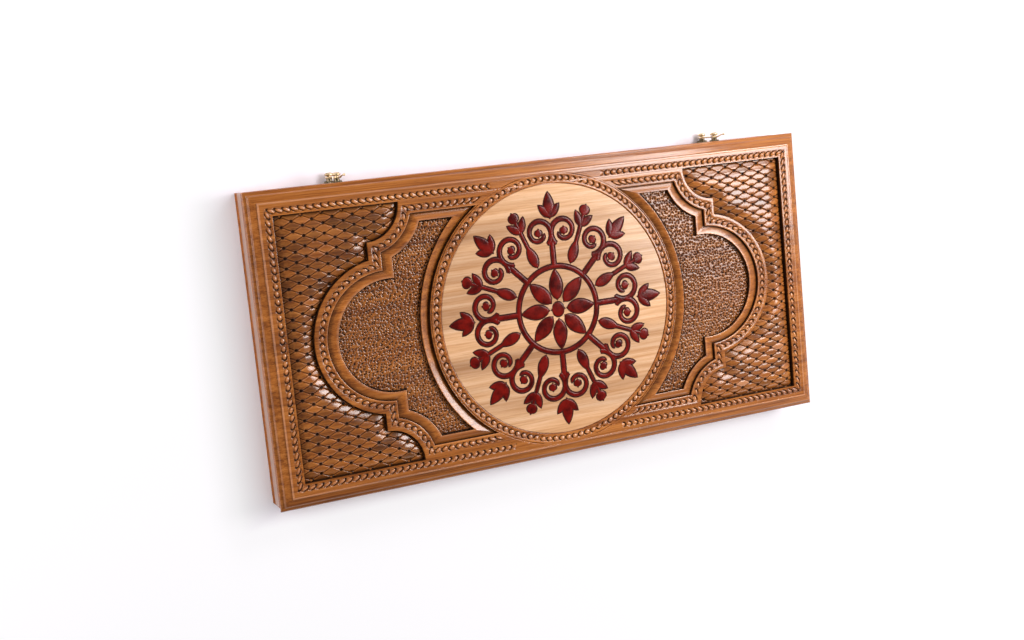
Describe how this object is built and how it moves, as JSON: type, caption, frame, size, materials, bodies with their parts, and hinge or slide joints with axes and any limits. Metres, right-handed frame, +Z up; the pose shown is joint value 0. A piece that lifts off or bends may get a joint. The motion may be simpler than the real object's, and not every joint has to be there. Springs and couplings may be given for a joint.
{
  "type": "lotto game box",
  "caption": "Flat wooden game box that opens like a book, with a carved lid, a round medallion, hook latches and trays for kegs, cards and counters.",
  "frame": {"origin": "middle of the underside of the base board", "axes": "+Z up through the carved lid, +X along the length, +Y towards the latches, hinges on the -Y side"},
  "size_m": [0.5, 0.2579, 0.038],
  "materials": {
    "case_wood": "satin lacquered reddish brown hardwood",
    "tray_wood": "sanded plain hardwood",
    "carved_wood": "satin lacquered reddish brown hardwood, carved",
    "pale_maple": "satin lacquered pale wood",
    "red_lacquer": "glossy dark red lacquer",
    "keg_wood": "sanded turned wood",
    "card_stock": "matt printed board",
    "counter_wood": "sanded thin wood",
    "antique_brass": "darkened antique brass"
  },
  "bodies": {
    "base": {"base_board": "case_wood", "base_rail_front": "case_wood", "base_rail_back": "case_wood", "base_rail_left": "case_wood", "base_rail_right": "case_wood", "cross_divider_left": "tray_wood", "cross_divider_right": "tray_wood", "tray_divider_left": "tray_wood", "tray_divider_right": "tray_wood", "number_kegs": "keg_wood", "game_cards": "card_stock", "counters": "counter_wood", "hinge_leaves_base": "antique_brass", "hinge_pins": "antique_brass", "hinge_screws_base": "antique_brass", "rosettes_base": "antique_brass", "pivot_posts": "antique_brass"},
    "lid": {"lid_board": "carved_wood", "lid_rail_front": "case_wood", "lid_rail_back": "case_wood", "lid_rail_left": "case_wood", "lid_rail_right": "case_wood", "medallion_disc": "pale_maple", "medallion_inlay": "red_lacquer", "hinge_leaves_lid": "antique_brass", "hinge_screws_lid": "antique_brass", "rosettes_lid": "antique_brass", "catch_posts": "antique_brass"},
    "hook_left": {"hook_left": "antique_brass"},
    "hook_right": {"hook_right": "antique_brass"}
  },
  "joints": [
    {"name": "lid_hinge", "type": "hinge", "parent": "base", "child": "lid", "pos_m": [0, -0.12465, 0.0195], "axis": [1, 0, 0], "range_deg": [0, 180]},
    {"name": "hook_left_pivot", "type": "hinge", "parent": "base", "child": "hook_left", "pos_m": [-0.173, 0.1272, 0.00475], "axis": [0, 1, 0], "range_deg": [0, 90]},
    {"name": "hook_right_pivot", "type": "hinge", "parent": "base", "child": "hook_right", "pos_m": [0.173, 0.1272, 0.00475], "axis": [0, 1, 0], "range_deg": [0, 90]}
  ]
}
